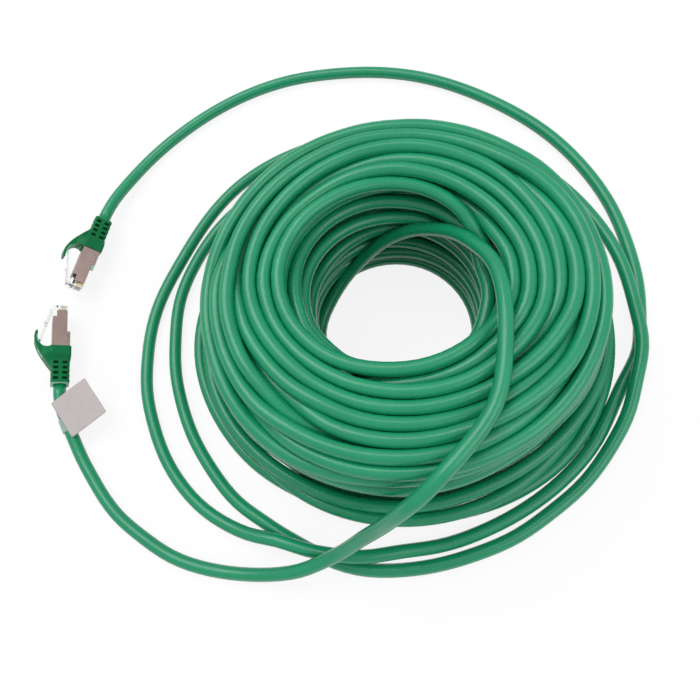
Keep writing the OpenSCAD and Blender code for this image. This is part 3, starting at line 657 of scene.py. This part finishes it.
clear_body = clear_plastic("clear_plastic", (0.93, 0.965, 0.95), 0.05, 1.3)
clear_latch = clear_plastic("clear_latch", (0.88, 0.93, 0.91), 0.12, 1.42)
clear_film = moulded("clear_film", (0.55, 0.78, 0.67), 0.04, 0.2, 0.00001)
clear_film.set(Alpha=0.45)
shield_metal = metal("plug_shield", (0.45, 0.335, 0.31), 0.42)
gold = metal("contact_gold", (0.78, 0.52, 0.2), 0.28, 0.05)
foil = metal("shield_foil", (0.62, 0.63, 0.65), 0.3, 0.08, (700, 700, 700), 0.00008)
tinned = metal("drain_wire", (0.6, 0.6, 0.6), 0.3)
milky = moulded("load_bar_plastic", (0.55, 0.62, 0.64), 0.04, 0.4, 0.00001)


def wire_finish(name, rgb, stripe=None):
    """Insulation of one colour, or white with bands of a colour along it."""
    f = moulded(name, rgb, 0.04, 0.38, 0.000006)
    if stripe:
        bands = f.tree.nodes.new("ShaderNodeTexWave")
        bands.inputs["Scale"].default_value = 110
        bands.inputs["Distortion"].default_value = 1.5
        f.tree.links.new(f.place, bands.inputs["Vector"])
        f.colour(bands.outputs["Fac"], (0.62, rgb), (0.7, stripe))
    return f


WHITE, ORANGE, GREEN = (0.72, 0.71, 0.68), (0.75, 0.22, 0.03), (0.03, 0.32, 0.08)
BLUE, BROWN = (0.03, 0.11, 0.45), (0.17, 0.07, 0.03)
wire_finishes = [wire_finish("wire_white_orange", WHITE, ORANGE), wire_finish("wire_orange", ORANGE),
                 wire_finish("wire_white_green", WHITE, GREEN), wire_finish("wire_blue", BLUE),
                 wire_finish("wire_white_blue", WHITE, BLUE), wire_finish("wire_green", GREEN),
                 wire_finish("wire_white_brown", WHITE, BROWN), wire_finish("wire_brown", BROWN)]


def paper_finish():
    """Blank matt label under a clear laminate: faint fibres and mottling."""
    f = Finish("label_paper")
    f.set(Coat_Weight=0.35, Coat_Roughness=0.25, Specular_IOR_Level=0.4)
    f.colour(f.noise(420, 6, 0.7), (0.3, (0.545, 0.487, 0.487)), (0.7, (0.6, 0.54, 0.54)))
    f.ranged(f.noise(900, 4), 0.5, 0.68, "Roughness")
    f.bump(f.noise(1500, 5, 0.7), 0.00001)
    return f


paper = paper_finish()


def dress(piece, finish):
    piece.data.materials.clear()
    piece.data.materials.append(finish.material)


# ---- Shapes grown from distance fields, in millimetres, negative inside ----

def smooth_step(a, b, x):
    t = np.clip((x - a) / (b - a), 0, 1)
    return t * t * (3 - 2 * t)


def join(a, b, k):
    """Union of two fields with a fillet of about k."""
    h = np.clip(0.5 + 0.5 * (b - a) / k, 0, 1)
    return b + (a - b) * h - k * h * (1 - h)


def both(a, b, k):
    """What two fields share, its edges rounded by about k."""
    return -join(-a, -b, k)


def rounded_block(x, y, z, low, high, r):
    q = [np.abs(c - (a + b) / 2) - (b - a) / 2 + r for c, a, b in zip((x, y, z), low, high)]
    outside = np.sqrt(sum(np.maximum(c, 0) ** 2 for c in q))
    return outside + np.minimum(np.maximum(np.maximum(q[0], q[1]), q[2]), 0) - r


def to_polyline(x, z, points):
    """Distance from the places (x, z) to a line through points."""
    nearest = np.full(x.shape, 1e9)
    for a, b in zip(points[:-1], points[1:]):
        way = b - a
        t = np.clip(((x - a[0]) * way[0] + (z - a[1]) * way[1]) / (way @ way), 0, 1)
        nearest = np.minimum(nearest, np.hypot(x - a[0] - t * way[0], z - a[1] - t * way[1]))
    return nearest


def to_outline(x, z, points):
    """Signed distance from the places (x, z) to a closed outline."""
    closed = np.vstack([points, points[:1]])
    inside = np.zeros(x.shape, bool)
    for a, b in zip(closed[:-1], closed[1:]):
        if a[1] != b[1]:
            spans = (a[1] > z) != (b[1] > z)
            inside ^= spans & (x < a[0] + (z - a[1]) / (b[1] - a[1]) * (b[0] - a[0]))
    return to_polyline(x, z, closed) * np.where(inside, -1, 1)


def grown(name, field, low, high, cell, place):
    """A closed mesh where a field is zero, by surface nets; place takes it to the world."""
    axes = [np.arange(a - 2 * cell, b + 3 * cell, cell) for a, b in zip(low, high)]
    f = field(*np.meshgrid(*axes, indexing="ij"))
    inside = f < 0
    n = np.array(f.shape) - 1
    total, count = np.zeros((*n, 3)), np.zeros(tuple(n))
    for axis in range(3):
        u, v = (k for k in range(3) if k != axis)
        for shift in ((0, 0), (0, 1), (1, 0), (1, 1)):
            start = np.zeros(3, int)
            start[u], start[v] = shift
            stop = start.copy()
            stop[axis] = 1
            a, b = (f[s[0]:s[0] + n[0], s[1]:s[1] + n[1], s[2]:s[2] + n[2]] for s in (start, stop))
            crosses = (a < 0) != (b < 0)
            total[..., axis] += np.where(crosses, a / np.where(crosses, a - b, 1), 0)
            total[..., u] += crosses * start[u]
            total[..., v] += crosses * start[v]
            count += crosses
    used = count > 0
    number = np.full(tuple(n), -1)
    number[used] = np.arange(used.sum())
    verts = np.argwhere(used) + total[used] / count[used][:, None]
    verts = verts * cell + np.array([a[0] for a in axes])
    faces = []
    for axis in range(3):
        u, v = (axis + 1) % 3, (axis + 2) % 3
        changes = np.diff(inside, axis=axis)
        e = np.argwhere(changes)
        e = e[(e[:, u] > 0) & (e[:, v] > 0) & (e[:, u] < n[u]) & (e[:, v] < n[v])]
        du, dv = np.eye(3, dtype=int)[u], np.eye(3, dtype=int)[v]
        quad = np.stack([number[tuple(q.T)] for q in (e - du - dv, e - dv, e, e - du)], axis=1)
        back = ~inside[tuple(e.T)]
        quad[back] = quad[back][:, ::-1]
        faces += quad.tolist()
    return mesh_piece(name, place(verts) * MM, faces)


# ---- The plugs ----
# Each has its own frame: x towards the nose, z towards the latch, y across the contacts.

HEAD_X, BOOT_L, HINGE_X, HINGE_Z = 11.5, 18.0, 9.6, 4.9
RELIEF_W, RELIEF_H, HEAD_W, HEAD_H = 9.2, 8.4, 13.4, 9.2
HOOD_W, HOOD_T, FIN_T = 8.0, 0.95, 1.0
HOOD_BACK = [(-1.2, -0.5), (-0.2, 0.3), (3, 2.5), (7, 4.9), (10.6, 6.35), (13.9, 6.85), (16.4, 6.3)]
HOOD_FRONT = [(15.6, 5.6), (12.4, 5.2), (10, 4.1), (8.7, 2.5), (8.2, 0.8), (8, -0.6)]
OPENING_LOW, OPENING_HIGH = (13.6, -1.7, 5.6), (18.8, 1.7, 14)
RELIEF_EDGE, HEAD_EDGE, WAVE = 1.5, 1.1, 0.16
SLOT_X, SLOT_PITCH, SLOT_Z, SLOT_L, SLOT_W = 2.4, 2.6, 2.0, 1.2, 2.2
SLOT_DEPTHS = (1.1, 1.1, 0.75, 0.75)
BORE_R, BORE_L = 3.0, 9.0              # for the cable
RING_R, RING_X0, RING_X1 = 3.72, 7.9, 17.2    # pocket for the crimp ring
MOUTH_X, MOUTH_Y, MOUTH_Z0, MOUTH_Z1 = 16.9, 5.95, -4.06, 4.16
CONTACT_X, CONTACT_L, WIRE_X, WIRE_Z, PITCH = 32.0, 5.2, 21.5, 1.05, 1.02
WIRE_R, WIRE_END_R, WIRE_SIDES, WIRE_RINGS, WIRES = 0.45, 0.42, 12, 8, 8


def plug_axes(turn, roll):
    """A plug's own axes, as columns in the world's."""
    return np.array(Matrix.Rotation(math.radians(turn), 3, "Z") @ Matrix.Rotation(math.radians(roll), 3, "X"))


def plug_frame(at, turn, roll):
    """Function that takes points in a plug's frame to the world's millimetres."""
    axes = plug_axes(turn, roll)
    return lambda p: np.asarray(p, float) @ axes.T + np.array(at)


def boot_field(x, y, z):
    """Boot with its slotted relief, flared head, and the hood over the latch."""
    flare = smooth_step(HEAD_X - 0.9, HEAD_X + 3.2, x)
    half_w = RELIEF_W / 2 + (HEAD_W - RELIEF_W) / 2 * flare
    half_h = RELIEF_H / 2 + (HEAD_H - RELIEF_H) / 2 * smooth_step(HEAD_X - 1, HEAD_X + 1.5, x)
    edge = RELIEF_EDGE + (HEAD_EDGE - RELIEF_EDGE) * flare
    # shallow waves between the relief's rows of slots
    wave = 0.5 + 0.5 * np.cos((x - SLOT_X) * 2 * math.pi / SLOT_PITCH)
    half_h = half_h - WAVE * (1 - flare) * wave * (x < HEAD_X - 0.1)
    qy, qz = np.abs(y) - half_w + edge, np.abs(z) - half_h + edge
    bar = np.hypot(np.maximum(qy, 0), np.maximum(qz, 0)) + np.minimum(np.maximum(qy, qz), 0) - edge
    body = both(bar, np.maximum(-x, x - BOOT_L), 0.5)
    # the hood: a curved back with a fin at each side that runs into the head
    u, w = x[:, 0, :] - HINGE_X, z[:, 0, :] - HINGE_Z
    back_line = spline(HOOD_BACK, 0.5)
    front_line = spline(HOOD_FRONT, 0.5)
    normal = np.gradient(back_line, axis=0)
    normal = np.stack([normal[:, 1], -normal[:, 0]], axis=1) / np.linalg.norm(normal, axis=1)[:, None]
    middle = back_line + normal * HOOD_T / 2
    plate = (to_polyline(u, w, middle) - HOOD_T / 2)[:, None, :]
    web = to_outline(u, w, np.vstack([back_line, front_line, [[-1, -1]]]))[:, None, :]
    reach = HOOD_W / 2 + (half_w - 0.6 - HOOD_W / 2) * (1 - smooth_step(4.2, 8.6, z)) * flare
    plate = both(plate, np.abs(y) - reach, 0.5)
    fins = both(web, np.abs(np.abs(y) - reach + FIN_T / 2) - FIN_T / 2, 0.4)
    hood = join(plate, fins, 0.5)
    hood = both(hood, -rounded_block(x, y, z, OPENING_LOW, OPENING_HIGH, 0.9), 0.3)
    body = join(body, hood, 1.1)
    # slots through the relief's skin
    for row, depth in enumerate(SLOT_DEPTHS):
        for side in (-1, 1):
            at = SLOT_X + SLOT_PITCH * row
            low = (at - SLOT_L / 2, RELIEF_W / 2 - depth, side * SLOT_Z - SLOT_W / 2)
            high = (at + SLOT_L / 2, RELIEF_W / 2 + 2, side * SLOT_Z + SLOT_W / 2)
            body = both(body, -rounded_block(x, np.abs(y), z, low, high, 0.35), 0.2)
    bore = np.maximum(np.hypot(y, z) - BORE_R, x - BORE_L)
    pocket = np.maximum(np.hypot(y, z) - RING_R, np.maximum(RING_X0 - x, x - RING_X1))
    # the mouth round the shield
    mouth = rounded_block(x, y, z, (MOUTH_X, -MOUTH_Y, MOUTH_Z0), (BOOT_L + 3, MOUTH_Y, MOUTH_Z1), 0.1)
    return np.maximum(body, -np.minimum(np.minimum(bore, pocket), mouth))


def wires_piece(name, place):
    """Eight insulated conductors in their order, as one mesh whose faces hold their conductor's number."""
    angles = np.arange(WIRE_SIDES) * 2 * math.pi / WIRE_SIDES
    stations = np.linspace(WIRE_X, CONTACT_X + CONTACT_L, WIRE_RINGS)
    verts, faces, tints = [], [], []
    for i in range(WIRES):
        y0 = (i - (WIRES - 1) / 2) * PITCH
        first = len(verts)
        for x in stations:
            r = WIRE_END_R if x in (stations[0], stations[-1]) else WIRE_R
            verts += [(x, y0 + r * math.cos(t), WIRE_Z + r * math.sin(t)) for t in angles]
        last = len(verts) - WIRE_SIDES
        wire = [face for start in range(first, last, WIRE_SIDES)
                for face in band(start, start + WIRE_SIDES, WIRE_SIDES)]
        wire += [cap(first, WIRE_SIDES), cap(last, WIRE_SIDES)]
        faces += wire
        tints += [i] * len(wire)
    piece = recalculated(mesh_piece(name, place(verts) * MM, faces))
    for face, tint in zip(piece.data.polygons, tints):
        face.material_index = tint
    return piece


def paint_boot_light_and_shade(boot, at, turn, roll):
    """Painted light, a paler colour, on the cable end and inside of the hood; painted shade at the foot of
    the slots.
    """
    axes = plug_axes(turn, roll)
    for face in boot.data.polygons:
        x, y, z = (np.array(face.center) / MM - np.array(at)) @ axes
        nx, ny, nz = np.array(face.normal) @ axes
        inward = nz < -0.2 or ny * y < -0.5 * abs(y)
        inside_hood = inward and z > HEAD_H / 2 + 0.2 and 13 < x < 24.2
        cable_end = x < 0.5 and nx < -0.5
        in_slot = x < HEAD_X and 3.3 < abs(y) < 4.25 and abs(abs(z) - SLOT_Z) < SLOT_W / 2 + 0.05
        # the cable end and the inside of the hood get the pale painted light
        if inside_hood or cable_end:
            face.material_index = 1
        # the foot of each slot gets painted shade
        elif in_slot and ny * y > 0:
            face.material_index = 2


# Locking tabs of the housing that fill the shield's windows, and the catch at plug A's step
WINDOW_X, WINDOW_Z = (20.52, 23.48), (-3.03, -1.87)
TAB_IN, TAB_OUT = 5.56, 5.88
CATCH_LOW, CATCH_HIGH = (25.35, 4.5, -3.95), (28.2, 5.75, -2.62)
# corners of the boot's grid, set off a little so that no flat face of the boot lies on a grid plane
BOOT_LOW, BOOT_HIGH = (-0.13, -HEAD_W / 2 - 0.04, -HEAD_H / 2 - 0.06), (26.6, HEAD_W / 2, 12.2)
BOOT_CELL, TAB_CELL = 0.2, 0.1
PLUG_FINISHES = {"housing": clear_body, "latch": clear_latch, "shield": shield_metal, "contacts": gold,
                 "load_bar": milky, "foil_core": foil, "jacket_end": cable_green, "drain_wire": tinned}


def block_piece(name, low, high, place, finish):
    piece = grown(name, lambda x, y, z: rounded_block(x, y, z, low, high, 0.12), low, high, TAB_CELL, place)
    dress(piece, finish)
    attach(piece, "root")
    return piece


def build_plug(tag, at, turn, roll):
    """A plug's own pieces; its CAD nodes are given their finishes."""
    place = plug_frame(at, turn, roll)
    boot = grown(f"boot_{tag}", boot_field, BOOT_LOW, BOOT_HIGH, BOOT_CELL, place)
    dress(boot, boot_green)
    boot.data.materials.append(boot_painted_light.material)
    boot.data.materials.append(boot_painted_shade.material)
    paint_boot_light_and_shade(boot, at, turn, roll)
    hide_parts(f"plug_{tag}_boot", f"plug_{tag}_latch_cover")
    low, high = (place([(HINGE_X, 0, z)])[0] * MM for z in (4.8, 7.3))
    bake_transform(boot)
    wires = wires_piece(f"wires_{tag}", place)
    # clearing the slots puts every face back on the first one, so all conductors show that finish
    wires.data.materials.clear()
    for finish in wire_finishes:
        wires.data.materials.append(finish.material)
    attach(wires, "root")
    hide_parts(f"plug_{tag}_conductors")
    blocks = []
    for n, side in enumerate((-1, 1)):
        y0, y1 = sorted((side * TAB_IN, side * TAB_OUT))
        low, high = zip(WINDOW_X, (y0, y1), WINDOW_Z)
        blocks.append(block_piece(f"tab_{tag}_{n}", low, high, place, shield_metal))
    if tag == "a":
        # the catch takes the boot's pale painted-light finish
        blocks.append(block_piece("catch_a", CATCH_LOW, CATCH_HIGH, place, boot_painted_light))
    for part, finish in PLUG_FINISHES.items():
        for slot in bpy.data.objects[f"plug_{tag}_{part}"].material_slots:
            slot.material = finish.material
    return [boot, wires, *blocks]


build_plug("a", PLUG_A_AT, PLUG_A_TURN, PLUG_A_ROLL)
plug_b_pieces = build_plug("b", PLUG_B_AT, PLUG_B_TURN, PLUG_B_ROLL)
plug_b_pieces += [f"plug_b_{part}" for part in PLUG_FINISHES]


# ---- The label: a blank folded flag held on the cable by a clear film ----

LABEL_L, LABEL_W, FLAG_T = 19.5, 20, 0.3
LABEL_TILT, FLAG_SKEW, FLAG_AT = 7, 9.8, (-7.5, 9.7)
FLAG_CORNER, FLAG_AROUND, FLAG_RINGS = 0.45, 128, 14
FILM_IN, FILM_T, FILM_GAP = 3.0, 0.12, 0.06
FILM_FROM, FILM_TO, FILM_BULGE, FILM_AROUND = -7, -0.4, 2.4, 64


def label_frame():
    """Function from the label's frame (x along the cable, z up) to the world's millimetres."""
    a, b = np.array(LEAD_B[1]), np.array(LEAD_B[2])
    way = unit(b - a)
    turn, dip = math.atan2(way[1], way[0]), -math.asin(way[2])
    m = np.array(Matrix.Rotation(turn, 3, "Z") @ Matrix.Rotation(dip, 3, "Y")
                 @ Matrix.Rotation(math.radians(LABEL_TILT), 3, "X"))
    return lambda p: np.asarray(p, float) @ m.T + (a + b) / 2


def flag_piece(name, place):
    """A thin square sheet with rounded corners that droops a little towards its free edges."""
    half = np.array([LABEL_L, LABEL_W]) / 2
    outline = []
    for k in range(FLAG_AROUND):
        t = 2 * math.pi * k / FLAG_AROUND
        way = np.array([math.cos(t), math.sin(t)])
        p = way * min(half / np.maximum(np.abs(way), 1e-9))
        past = np.abs(p) - (half - FLAG_CORNER)
        if past.min() > 0:
            p = np.sign(p) * (half - FLAG_CORNER + FLAG_CORNER * past / np.linalg.norm(past))
        outline.append(p)
    spin = math.radians(FLAG_SKEW)
    turn = np.array([[math.cos(spin), -math.sin(spin)], [math.sin(spin), math.cos(spin)]])
    middle = FILM_IN + 3 * FILM_T + FLAG_T / 2 + 0.05
    layers = []
    for side in (-1, 1):
        for ring in range(1, FLAG_RINGS + 1):
            p = np.array(outline) * (ring / FLAG_RINGS) ** 0.8
            x, y = p[:, 0], p[:, 1]
            droop = -0.6 * np.clip(y / LABEL_W + 0.1, 0, 1) ** 2
            curl = 0.2 * (x / LABEL_L) ** 2 + 0.1 * np.sin(0.5 * x + 0.3 * y)
            half_t = FLAG_T / 2 * (1 if ring < FLAG_RINGS else 0.55)
            layers.append(np.column_stack([p @ turn.T + FLAG_AT, middle + droop + curl + side * half_t]))
    faces, one_side = [], FLAG_RINGS * FLAG_AROUND
    for first in (0, one_side):
        for a in range(first, first + one_side - FLAG_AROUND, FLAG_AROUND):
            faces += band(a, a + FLAG_AROUND, FLAG_AROUND)
        faces.append(cap(first, FLAG_AROUND))
    faces += band(one_side - FLAG_AROUND, 2 * one_side - FLAG_AROUND, FLAG_AROUND)
    return recalculated(mesh_piece(name, place(np.concatenate(layers)) * MM, faces))


def film_piece(name, place):
    """Clear film wrapped round the cable, a little loose on one side, as a closed thin sleeve."""
    stations = np.linspace(FILM_FROM, FILM_TO, 9)
    t = np.arange(FILM_AROUND) * 2 * math.pi / FILM_AROUND
    loose = FILM_BULGE * np.clip(np.cos(t - 0.1), 0, 1) ** 5 + 0.6 * np.clip(-np.cos(t), 0, 1) ** 4
    rings = []
    for r in (FILM_IN + FILM_GAP, FILM_IN + FILM_GAP + FILM_T):
        for x in stations:
            rings.append(np.column_stack([x + 0.25 * np.sin(t), (r + loose * (1 + 0.04 * x)) * np.cos(t),
                                          r * np.sin(t)]))
    faces, one_layer = [], len(stations) * FILM_AROUND
    for first in (0, one_layer):
        for a in range(first, first + one_layer - FILM_AROUND, FILM_AROUND):
            faces += band(a, a + FILM_AROUND, FILM_AROUND)
    for a in (0, one_layer - FILM_AROUND):
        faces += band(a, one_layer + a, FILM_AROUND)
    return recalculated(mesh_piece(name, place(np.concatenate(rings)) * MM, faces))


label_place = label_frame()
flag = flag_piece("label_sheet", label_place)
dress(flag, paper)
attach(flag, "root")
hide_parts("label_flag")
film = film_piece("label_film", label_place)
dress(film, clear_film)
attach(film, "root")
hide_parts("label_flag")


# ---- The cable ----

cable = tube_piece("cable", route, CABLE_R, 12)
dress(cable, cable_green)
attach(cable, "root")
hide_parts("lead_a", "loose_loops", "coil_outer_turns", "coil_inner_turns", "lead_b")


# ---- Floor, light and world ----

FLOOR_HALF = 3.0
FLOOR_TONE = 0.6                       # the floor that lights the object
SHOWN_TONE, SHOWN_GLOW = 0.15, 0.86    # the floor as the camera, metal and clear plastic see it
SKY, SHOWN_SKY = 0.55, 1.0


def between(tree, fac, low, high, socket):
    """Feed a socket with low where fac is 0, and with high where it is 1."""
    node = tree.nodes.new("ShaderNodeMapRange")
    node.inputs["To Min"].default_value = low
    node.inputs["To Max"].default_value = high
    tree.links.new(fac, node.inputs["Value"])
    tree.links.new(node.outputs["Result"], socket)


def make_floor():
    corners = [(x * FLOOR_HALF, y * FLOOR_HALF, 0) for x, y in ((-1, -1), (1, -1), (1, 1), (-1, 1))]
    floor = mesh_piece("floor", corners, [[0, 1, 2, 3]])
    mat = bpy.data.materials.new("floor")
    mat.use_nodes = True
    tree = mat.node_tree
    tree.nodes.clear()
    new, link = tree.nodes.new, tree.links.new
    out, add = new("ShaderNodeOutputMaterial"), new("ShaderNodeAddShader")
    diffuse, glow, path = new("ShaderNodeBsdfDiffuse"), new("ShaderNodeEmission"), new("ShaderNodeLightPath")
    seen = path.outputs["Is Camera Ray"]
    for ray in ("Is Glossy Ray", "Is Transmission Ray"):
        either = new("ShaderNodeMath")
        either.operation = "MAXIMUM"
        link(seen, either.inputs[0])
        link(path.outputs[ray], either.inputs[1])
        seen = either.outputs[0]
    between(tree, seen, 0, SHOWN_GLOW, glow.inputs["Strength"])
    between(tree, seen, FLOOR_TONE, SHOWN_TONE, diffuse.inputs["Color"])
    link(diffuse.outputs[0], add.inputs[0])
    link(glow.outputs[0], add.inputs[1])
    link(add.outputs[0], out.inputs["Surface"])
    floor.data.materials.append(mat)


def make_world():
    world = bpy.data.worlds.new("studio")
    bpy.context.scene.world = world
    world.use_nodes = True
    tree = world.node_tree
    back, path = tree.nodes["Background"], tree.nodes.new("ShaderNodeLightPath")
    between(tree, path.outputs["Is Camera Ray"], SKY, SHOWN_SKY, back.inputs["Strength"])
    back.inputs["Color"].default_value = (1, 1, 1, 1)


def area_light(name, at, towards, size, power):
    data = bpy.data.lights.new(name, "AREA")
    data.shape = "RECTANGLE"
    data.size, data.size_y = size
    data.energy = power
    lamp = bpy.data.objects.new(name, data)
    bpy.context.scene.collection.objects.link(lamp)
    lamp.location = at
    lamp.rotation_euler = (Vector(towards) - Vector(at)).to_track_quat("-Z", "Y").to_euler()


make_floor()
make_world()
area_light("key", (-0.5, 0.5, 1.3), (0, 0, 0), (1.0, 1.0), 9.0)
area_light("fill", (0.9, -0.4, 1.0), (0, 0, 0), (0.9, 0.9), 4.0)
bpy.context.scene.view_settings.view_transform = "Standard"
